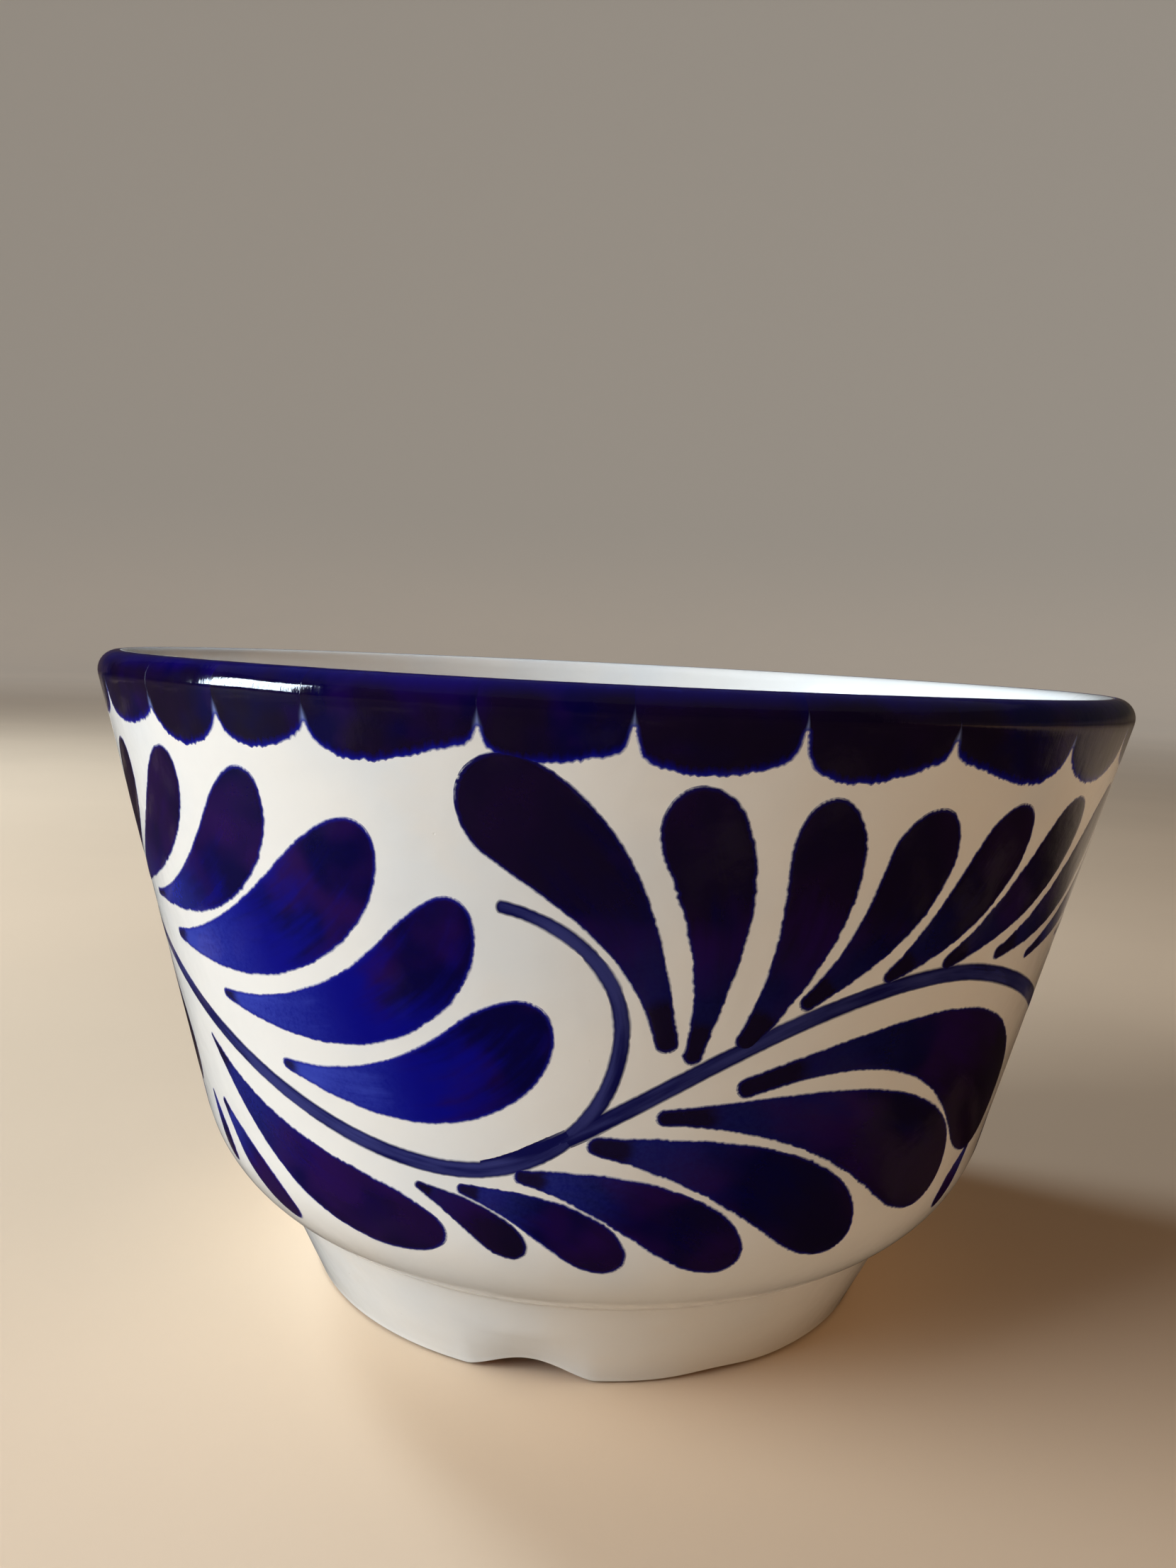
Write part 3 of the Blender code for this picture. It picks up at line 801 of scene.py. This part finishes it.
def rim_band(material):
    """Cobalt band from the crest of the lip down to the scalloped edge of its dabs."""
    round_scale = wall_scale(np.array([DAB_MEETING_HEIGHT]))[0]
    angle, edge_height, seam, number = scalloped_edge(round_scale)
    arc_length = angle * round_scale
    edge_height = edge_height + ragged(arc_length, 1.0, SEED + 7, BRISTLE_WAVES)

    rise = np.linspace(0.0, 1.0, BAND_WALL_ROWS)[:, None] ** BAND_ROW_CROWDING
    wall_height = mixed_points(edge_height, LIP_TANGENT[1], rise)
    top_ragged = BAND_TOP_WAVINESS * ragged(arc_length * 0.6, 1.0, SEED + 8)
    lip_share = np.linspace(0.0, 1.0, BAND_LIP_ROWS + 1)[1:, None]
    lip_way = -WALL_LEAN + (BAND_TOP + top_ragged + WALL_LEAN) * lip_share

    developed = np.stack(np.broadcast_arrays(arc_length, wall_height), axis=-1)
    outline = np.stack((arc_length, edge_height), axis=1)
    edge = band_edge_distance(developed, outline)
    lip_length = np.radians(lip_way + WALL_LEAN) * LIP_RADIUS
    to_top = lip_length[-1:] - lip_length
    lip_edge = np.minimum(edge[-1:] + lip_length, to_top)
    edge = np.concatenate((edge, lip_edge), axis=0)

    level = paint_level(edge, RIM_LAYER)
    face_wall = wall_section(wall_height, level[:BAND_WALL_ROWS])
    face_lip = on_circle(LIP_CENTRE, LIP_RADIUS + level[BAND_WALL_ROWS:], lip_way)
    back_wall = wall_section(wall_height, PAINT_BACK)
    back_lip = on_circle(LIP_CENTRE, LIP_RADIUS + PAINT_BACK, lip_way)
    face = [np.concatenate(rows) for rows in zip(face_wall, face_lip)]
    back = [np.concatenate(rows)[::-BAND_BACK_STEP] for rows in zip(back_wall, back_lip)]
    loop = [np.concatenate(rows) for rows in zip(face, back)]
    points = place(angle, loop[0], loop[1])

    lip_height = on_circle(LIP_CENTRE, LIP_RADIUS, lip_way)[1]
    height = np.concatenate((wall_height, lip_height), axis=0)
    over = np.concatenate((np.full_like(wall_height, -WALL_LEAN), lip_way), axis=0)
    grid = np.ones_like(height)
    brush = np.stack((height, arc_length * grid, number * grid), axis=-1)
    values = {
        "edge_mm": edge,
        "seam_mm": seam * grid,
        "above_mm": height - edge_height,
        "over_deg": over,
        "brush": brush,
    }
    values = {key: np.concatenate((v, v[::-BAND_BACK_STEP]), axis=0) for key, v in values.items()}
    piece = lattice_object("rim_band_dabs", points, material, True, True, values)
    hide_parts("rim_band")


# ---- material helpers ----

def add(tree, kind, inputs, output=0, **settings):
    """Adds a node, sets or links its inputs, and returns one of its outputs."""
    made = tree.nodes.new(kind)
    for key, value in settings.items():
        setattr(made, key, value)
    for key, value in inputs.items():
        if isinstance(value, bpy.types.NodeSocket):
            tree.links.new(value, made.inputs[key])
        else:
            made.inputs[key].default_value = value
    return made.outputs[output]


def maths(tree, operation, first, second):
    return add(tree, "ShaderNodeMath", {0: first, 1: second}, operation=operation)


def smooth(tree, value, low, high, at_low=0.0, at_high=1.0):
    """Smooth step of a value between two limits."""
    inputs = {"Value": value, "From Min": low, "From Max": high, "To Min": at_low, "To Max": at_high}
    return add(tree, "ShaderNodeMapRange", inputs, interpolation_type="SMOOTHSTEP")


def centred(tree, value, amount):
    """A value around one half, turned into a shift around nought."""
    return maths(tree, "MULTIPLY", maths(tree, "SUBTRACT", value, 0.5), amount)


def mix(tree, share, first, second):
    """Mix of two colours, either of them a socket or a linear RGB triple."""
    ends = [end if isinstance(end, bpy.types.NodeSocket) else (*end, 1.0) for end in (first, second)]
    inputs = {0: share, 6: ends[0], 7: ends[1]}
    return add(tree, "ShaderNodeMix", inputs, output=2, data_type="RGBA")


def scaled(tree, vector, factors):
    return add(tree, "ShaderNodeVectorMath", {0: vector, 1: factors}, operation="MULTIPLY")


def component(tree, vector, axis):
    """One coordinate of a vector: 0 for X, 1 for Y, 2 for Z."""
    return add(tree, "ShaderNodeSeparateXYZ", {0: vector}, output=axis)


def noise(tree, vector, scale, detail=3.0, roughness=0.55):
    inputs = {"Vector": vector, "Scale": scale, "Detail": detail, "Roughness": roughness}
    return add(tree, "ShaderNodeTexNoise", inputs)


def cells(tree, vector, scale):
    """Distance to the nearest of scattered points."""
    return add(tree, "ShaderNodeTexVoronoi", {"Vector": vector, "Scale": scale})


def stored(tree, name, output="Fac"):
    return add(tree, "ShaderNodeAttribute", {}, output=output, attribute_name=name)


def millimetres(tree):
    """Coordinates in the bowl's own frame, in millimetres."""
    place_in_metres = add(tree, "ShaderNodeTexCoord", {}, output="Object")
    return scaled(tree, place_in_metres, (1.0 / MM,) * 3)


def bump(tree, height, depth, normal=None):
    """Normal from a height of 0 to 1 that stands for a depth in millimetres."""
    inputs = {"Height": height, "Distance": depth * MM, "Strength": 1.0}
    if normal is not None:
        inputs["Normal"] = normal
    return add(tree, "ShaderNodeBump", inputs)


def new_material(name):
    """A material with its node tree, its shader, and coordinates in millimetres."""
    material = bpy.data.materials.new(name)
    material.use_nodes = True
    tree = material.node_tree
    return material, tree, tree.nodes["Principled BSDF"], millimetres(tree)


def finish_material(tree, shader, colour, roughness, normal, reflection=GLAZE_REFLECTION):
    tree.links.new(colour, shader.inputs["Base Color"])
    tree.links.new(roughness, shader.inputs["Roughness"])
    tree.links.new(normal, shader.inputs["Normal"])
    shader.inputs["IOR"].default_value = GLAZE_IOR
    shader.inputs["Specular IOR Level"].default_value = reflection


# ---- materials ----
# Noise scales are in cells per millimetre, and relief depths in millimetres.

def glaze_colour(tree, where):
    """White tin glaze: faint cool and warm clouds, and a few fine iron specks."""
    cloud = noise(tree, where, 0.030, 2.0)
    colour = mix(tree, smooth(tree, cloud, 0.30, 0.55), TIN_COOL, TIN_WHITE)
    warm = noise(tree, scaled(tree, where, (1.0, 1.0, 1.6)), 0.045, 3.0)
    colour = mix(tree, smooth(tree, warm, 0.56, 0.80, 0.0, 0.55), colour, TIN_WARM)
    speck = cells(tree, where, 0.16)
    chance = noise(tree, where, 0.11, 1.0)
    size = smooth(tree, chance, 0.52, 0.72, 0.0, 0.032)
    dark = maths(tree, "LESS_THAN", speck, size)
    return mix(tree, maths(tree, "MULTIPLY", dark, 0.55), colour, SPECK_BROWN)


def glaze_relief(tree, where):
    """Orange peel of a fired glaze, with pinholes."""
    peel = noise(tree, where, 0.16, 2.0)
    normal = bump(tree, peel, PEEL_DEPTH)
    fine = noise(tree, where, 0.9, 3.0)
    normal = bump(tree, fine, 0.006, normal)
    hole = smooth(tree, cells(tree, where, 0.21), 0.0, 0.045)
    return bump(tree, hole, 0.03, normal)


def tin_glaze():
    material, tree, shader, where = new_material("tin_white_glaze_look")
    sheen = noise(tree, where, 0.05, 3.0)
    roughness = smooth(tree, sheen, 0.3, 0.7, 0.07, 0.14)
    finish_material(tree, shader, glaze_colour(tree, where), roughness, glaze_relief(tree, where))
    return material


def fringed(tree, body, fringe_colour, where, softness):
    """Paint colour that fades through a brighter fringe into the white glaze at its edge."""
    grain = noise(tree, where, 1.5, 3.0, 0.65)
    edge = stored(tree, "edge_mm")
    shaken = maths(tree, "ADD", edge, centred(tree, grain, 0.30))
    fringe = smooth(tree, shaken, 0.15 * softness, 0.75 * softness)
    colour = mix(tree, fringe, fringe_colour, body)
    paint = smooth(tree, shaken, -0.02, 0.38 * softness)
    return mix(tree, paint, TIN_COOL, colour)


def leaf_cobalt():
    """Loaded strokes: a dark touch at the root, then a streaky wash, then pooled at the head."""
    material, tree, shader, where = new_material("cobalt_leaf_look")
    brush = stored(tree, "brush", "Vector")
    along = stored(tree, "along")
    loaded = stored(tree, "load")
    streak = noise(tree, scaled(tree, brush, (0.06, 0.75, 3.7)), 1.0, 4.0, 0.6)
    cloud = noise(tree, scaled(tree, brush, (0.09, 0.17, 5.3)), 1.0, 3.0)
    depth = maths(tree, "ADD", along, maths(tree, "MULTIPLY", loaded, 0.85))
    depth = maths(tree, "ADD", depth, centred(tree, cloud, 0.75))
    depth = maths(tree, "ADD", depth, centred(tree, streak, 0.45))
    heavy = smooth(tree, loaded, 0.40, 0.90)
    washed = mix(tree, heavy, WASHED_BLUE, HEAVY_WASH)
    blue = mix(tree, heavy, ULTRAMARINE, HEAVY_BLUE)
    colour = mix(tree, smooth(tree, depth, 0.12, 0.56), washed, blue)
    pooled = mix(tree, smooth(tree, noise(tree, where, 0.07, 2.0), 0.40, 0.60), POOLED_NAVY, POOLED_PURPLE)
    colour = mix(tree, smooth(tree, depth, 0.68, 1.12), colour, pooled)
    dense = smooth(tree, depth, 1.05, 1.50, 0.0, 0.75)
    colour = mix(tree, maths(tree, "MULTIPLY", heavy, dense), colour, DENSE_BLACK)
    grain = noise(tree, where, 1.7, 4.0, 0.7)
    wash = smooth(tree, along, 0.12, 0.55, 0.60, 0.0)
    patchy = smooth(tree, grain, 0.25, 0.75, 0.5, 1.3)
    colour = mix(tree, maths(tree, "MULTIPLY", wash, patchy), colour, washed)
    past_touch = maths(tree, "SUBTRACT", along, maths(tree, "MULTIPLY", loaded, 0.13))
    touch = smooth(tree, maths(tree, "ADD", past_touch, centred(tree, streak, 0.06)), 0.01, 0.06, 0.85, 0.0)
    colour = mix(tree, touch, colour, DENSE_BLACK)
    mottle = smooth(tree, grain, 0.45, 0.85, 0.0, 0.12)
    fringe = mix(tree, heavy, FRINGE_BLUE, HEAVY_FRINGE)
    colour = fringed(tree, mix(tree, mottle, colour, blue), fringe, where, 1.1)
    return finish_cobalt(material, tree, shader, colour, where, streak)


def stem_cobalt():
    """Thin navy line strokes, darker along their sides and where one stroke joins the next."""
    material, tree, shader, where = new_material("cobalt_stem_look")
    brush = stored(tree, "brush", "Vector")
    streak = noise(tree, scaled(tree, brush, (0.09, 1.1, 3.1)), 1.0, 4.0)
    cloud = noise(tree, scaled(tree, brush, (0.07, 0.3, 2.3)), 1.0, 2.0)
    depth = maths(tree, "ADD", maths(tree, "MULTIPLY", streak, 0.45), maths(tree, "MULTIPLY", cloud, 0.75))
    sides = smooth(tree, stored(tree, "edge_mm"), 0.25, 0.85, 0.14, 0.0)
    depth = maths(tree, "ADD", depth, sides)
    along = stored(tree, "along")
    joined = smooth(tree, along, 0.05, 0.13, 1.0, 0.0)
    merged = maths(tree, "MULTIPLY", joined, smooth(tree, along, 0.01, 0.06, 0.0, 0.2))
    depth = maths(tree, "ADD", depth, merged)
    colour = mix(tree, smooth(tree, depth, 0.48, 0.78), STEM_WASH, STEM_NAVY)
    edge = smooth(tree, stored(tree, "edge_mm"), -0.02, 0.48)
    colour = mix(tree, maths(tree, "MAXIMUM", edge, joined), TIN_COOL, colour)
    return finish_cobalt(material, tree, shader, colour, where, streak)


def band_cobalt():
    """Rim dabs: dark and pooled, brighter at the scallops, a little worn over the crest."""
    material, tree, shader, where = new_material("cobalt_band_look")
    brush = stored(tree, "brush", "Vector")
    above = stored(tree, "above_mm")
    over = stored(tree, "over_deg")
    seam = stored(tree, "seam_mm")
    streak = noise(tree, scaled(tree, brush, (0.22, 1.3, 2.9)), 1.0, 4.0, 0.6)
    cloud = noise(tree, scaled(tree, brush, (0.10, 0.12, 7.1)), 1.0, 3.0)
    pooled = mix(tree, smooth(tree, cloud, 0.44, 0.62, 0.0, 0.45), POOLED_NAVY, POOLED_PURPLE)
    dense = noise(tree, scaled(tree, brush, (0.06, 0.055, 4.3)), 1.0, 3.0)
    pooled = mix(tree, smooth(tree, dense, 0.42, 0.58, 0.0, 0.8), pooled, DENSE_BLACK)
    reach = maths(tree, "ADD", above, centred(tree, streak, 1.8))
    colour = mix(tree, smooth(tree, reach, 0.0, 1.5), ULTRAMARINE, pooled)
    thin = maths(tree, "ADD", over, centred(tree, cloud, 60.0))
    colour = mix(tree, smooth(tree, thin, 15.0, 70.0, 0.0, 0.35), colour, ULTRAMARINE)
    glow = maths(tree, "MULTIPLY", smooth(tree, seam, 0.0, 0.80, 0.75, 0.0),
                 smooth(tree, above, 0.0, 2.8, 1.0, 0.0))
    colour = mix(tree, glow, colour, SEAM_BLUE)
    around = scaled(tree, brush, (1.6, 0.35, 1.0))
    worn = smooth(tree, noise(tree, around, 1.0, 4.0, 0.7), 0.45, 0.75, 0.0, 0.12)
    crown = maths(tree, "MULTIPLY", smooth(tree, over, 45.0, 70.0), smooth(tree, over, 76.0, 92.0, 1.0, 0.0))
    colour = mix(tree, maths(tree, "MULTIPLY", worn, crown), colour, WASHED_BLUE)
    colour = fringed(tree, colour, FRINGE_BLUE, where, 1.1)
    return finish_cobalt(material, tree, shader, colour, where, streak)


def finish_cobalt(material, tree, shader, colour, where, streak):
    """Gloss and relief that all the cobalt strokes share."""
    grain = noise(tree, where, 0.5, 4.0, 0.65)
    roughness = smooth(tree, grain, 0.3, 0.75, 0.04, 0.11)
    normal = bump(tree, noise(tree, where, 0.16, 2.0), PEEL_DEPTH)
    normal = bump(tree, noise(tree, where, 1.3, 3.0, 0.6), 0.012, normal)
    normal = bump(tree, streak, 0.02, normal)
    finish_material(tree, shader, colour, roughness, normal, COBALT_REFLECTION)
    return material


def fired_clay():
    """Bare terracotta: sandy, with pale slip and darker grog."""
    material, tree, shader, where = new_material("terracotta_look")
    patch = noise(tree, where, 0.05, 4.0)
    colour = mix(tree, smooth(tree, patch, 0.35, 0.7), TERRACOTTA, TERRACOTTA_PALE)
    grit = smooth(tree, cells(tree, where, 1.1), 0.05, 0.22, 0.7, 0.0)
    colour = mix(tree, grit, colour, TERRACOTTA_DARK)
    sand = noise(tree, where, 2.2, 5.0, 0.7)
    normal = bump(tree, sand, 0.05)
    finish_material(tree, shader, colour, smooth(tree, sand, 0.3, 0.7, 0.75, 0.95), normal)
    return material


def floor_material():
    """Pale matt floor and backdrop.

    Where the glaze mirrors it, its front is painted darker, a painted shade as of a table in the
    viewer's shade, with paler painted reflection patches. Its far part glows for the camera alone,
    a painted light.
    """
    material, tree, shader, where = new_material("pale_floor")
    patch = noise(tree, where, 0.004, 3.0)
    paler = tuple(channel * FLOOR_CONTRAST for channel in FLOOR_PALE)
    colour = mix(tree, smooth(tree, patch, 0.3, 0.7), FLOOR_PALE, paler)
    colour = mix(tree, smooth(tree, component(tree, where, 2), 0.0, 500.0), colour, BACKDROP_GREY)
    sideways = maths(tree, "MULTIPLY", component(tree, where, 0), 0.8)
    back = maths(tree, "ADD", component(tree, where, 1), sideways)
    # Painted shade in the glaze's reflection: for glossy rays the floor's front turns dark, broken by paler
    # painted reflection patches.
    is_mirrored = add(tree, "ShaderNodeLightPath", {}, output="Is Glossy Ray")
    painted_shade_share = maths(tree, "MULTIPLY", is_mirrored, smooth(tree, back, 260.0, 560.0, 1.0, 0.0))
    painted_reflection_patches = smooth(tree, noise(tree, where, 0.014, 2.0), 0.54, 0.68)
    colour = mix(tree, painted_shade_share, colour, mix(tree, painted_reflection_patches, MIRRORED_FLOOR_PAINTED_SHADE, MIRRORED_FLOOR_PAINTED_REFLECTION))
    normal = bump(tree, noise(tree, where, 0.7, 3.0), 0.01)
    roughness = smooth(tree, patch, 0.2, 0.8, 0.7, 0.8)
    finish_material(tree, shader, colour, roughness, normal, FLOOR_REFLECTION)
    # Painted light: the far floor and backdrop glow for camera rays only, and light nothing.
    far = add(tree, "ShaderNodeVectorMath", {0: where}, output="Value", operation="LENGTH")
    is_seen = add(tree, "ShaderNodeLightPath", {}, output="Is Camera Ray")
    glow = maths(tree, "MULTIPLY", is_seen, smooth(tree, far, 450.0, 2400.0))
    tree.links.new(glow, shader.inputs["Emission Strength"])
    shader.inputs["Emission Color"].default_value = (*BACKDROP_PAINTED_GLOW, 1.0)
    return material


# ---- stage ----

def floor(material):
    """A round floor that turns up into a backdrop on every side."""
    section = stacked(
        np.array([(0.0, 0.0)]),
        line((0.0, 0.0), (FLOOR_FLAT_RADIUS, 0.0), 8),
        arc((FLOOR_FLAT_RADIUS, FLOOR_BEND), FLOOR_BEND, -90.0, 0.0, 16),
        np.array([(FLOOR_FLAT_RADIUS + FLOOR_BEND, BACKDROP_HEIGHT)]),
    )
    turn = np.radians(spin_angles(FLOOR_COLUMNS))
    radius, height = as_grid(section, FLOOR_COLUMNS)
    points = np.stack((radius * np.sin(turn), -radius * np.cos(turn), height), axis=-1) * MM
    mesh = lattice_mesh("studio_floor", points, False, True)
    mesh.shade_smooth()
    mesh.materials.append(material)
    linked("studio_floor", mesh)


def softbox(name, place_mm, width, height, power, colour, is_mirrored):
    """Rectangular light aimed at the bowl, in millimetres and watts.

    One that is mirrored shows in the glaze and lights nothing else. The others do the reverse.
    """
    lamp = bpy.data.lights.new(name, "AREA")
    lamp.shape = "RECTANGLE"
    lamp.size = width * MM
    lamp.size_y = height * MM
    lamp.energy = power
    lamp.color = colour
    thing = linked(name, lamp)
    thing.location = Vector(place_mm) * MM
    thing.rotation_mode = "QUATERNION"
    toward = (Vector(LIGHTS_AIM) - Vector(place_mm)).normalized()
    thing.rotation_quaternion = toward.to_track_quat("-Z", "Y")
    thing.visible_glossy = is_mirrored
    thing.visible_diffuse = not is_mirrored


def studio():
    """Cool window light from the left and behind, and a weak warm fill from the right."""
    softbox("window", *WINDOW, False)
    for number, bearing in enumerate(PANE_BEARINGS, start=1):
        way = math.radians(bearing)
        spot = (PANE_DISTANCE * math.sin(way), PANE_DISTANCE * math.cos(way), PANE_HEIGHT)
        softbox(f"window_pane_{number}", spot, *PANE_SIZE, PANE_POWER, SKY_LIGHT, True)
    softbox("back_window", *BACK_WINDOW, False)
    softbox("warm_fill", *WARM_FILL, False)
    world = bpy.data.worlds.new("studio_air")
    world.use_nodes = True
    air = world.node_tree.nodes["Background"]
    air.inputs["Color"].default_value = (*AIR_LIGHT, 1.0)
    air.inputs["Strength"].default_value = AIR_STRENGTH
    bpy.context.scene.world = world
    bpy.context.scene.view_settings.view_transform = "Standard"


def camera():
    yaw, dip, roll = (math.radians(a) for a in (CAMERA_YAW, CAMERA_DIP, CAMERA_ROLL))
    forward = Vector((math.sin(yaw) * math.cos(dip), math.cos(yaw) * math.cos(dip), -math.sin(dip)))
    level = Vector((math.cos(yaw), -math.sin(yaw), 0.0))
    upright = level.cross(forward)
    right = math.cos(roll) * level + math.sin(roll) * upright
    above = math.cos(roll) * upright - math.sin(roll) * level
    lens = bpy.data.cameras.new("view")
    lens.lens = CAMERA_LENS
    lens.sensor_width = CAMERA_SENSOR
    lens.clip_start = 0.01
    lens.clip_end = 20.0
    thing = linked("view", lens)
    turned = Matrix((right, above, -forward)).transposed().to_4x4()
    thing.matrix_world = Matrix.Translation(Vector(CAMERA_PLACE) * MM) @ turned
    bpy.context.scene.camera = thing


def main():
    white = tin_glaze()
    clay = fired_clay()
    clay_body(clay)
    foot_ring(clay)
    inner_glaze(white)
    outer_glaze(white)
    rim_band(band_cobalt())
    vine(leaf_cobalt(), stem_cobalt())
    floor(floor_material())
    studio()
    camera()


main()
bpy.context.view_layer.update()
